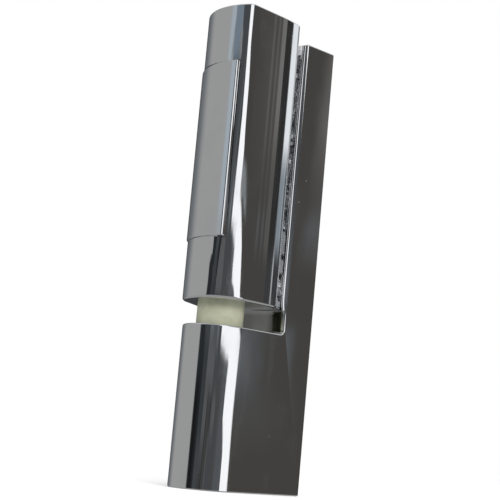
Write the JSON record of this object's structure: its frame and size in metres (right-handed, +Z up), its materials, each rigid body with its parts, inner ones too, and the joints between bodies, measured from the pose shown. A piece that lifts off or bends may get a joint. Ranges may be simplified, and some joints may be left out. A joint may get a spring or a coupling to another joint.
{
  "type": "cam_rise_hinge",
  "caption": "Chromed cast cam-rise hinge for a cooler door: a knuckle block with a tall flange, and a curved door leaf that climbs an ivory nylon cam as it opens",
  "frame": {"origin": "the hinge pin's axis at the underside of the lower knuckle block", "axes": "+Z up along the hinge pin, +Y from the curved noses to the flange's back, +X to the flat side"},
  "size_m": [0.0379, 0.0492, 0.167],
  "materials": {
    "leaf_chrome": "gloss",
    "nylon": "satin",
    "pin_steel": "satin",
    "spring_steel": "satin"
  },
  "bodies": {
    "frame": {"frame_leaf": "leaf_chrome", "lower_cam": "nylon", "lower_cam_pin": "spring_steel", "thrust_disc": "pin_steel", "pin_set_screw": "pin_steel"},
    "pin": {"hinge_pin": "pin_steel"},
    "leaf": {"door_leaf": "leaf_chrome", "upper_cam": "nylon", "upper_cam_pin": "spring_steel", "pin_sleeve": "nylon", "cover_plate": "leaf_chrome", "cover_clip_lower": "spring_steel", "cover_clip_upper": "spring_steel"}
  },
  "joints": [
    {"name": "turn", "type": "hinge", "parent": "frame", "child": "pin", "pos_m": [0, 0, 0], "axis": [0, 0, 1], "range_deg": [0, 110]},
    {"name": "rise", "type": "slide", "parent": "pin", "child": "leaf", "axis": [0, 0, 1], "range_m": [0, 0.00767]}
  ],
  "couplings": [
    {"joint": "turn", "follows": "rise", "rad_per_m": 250}
  ]
}
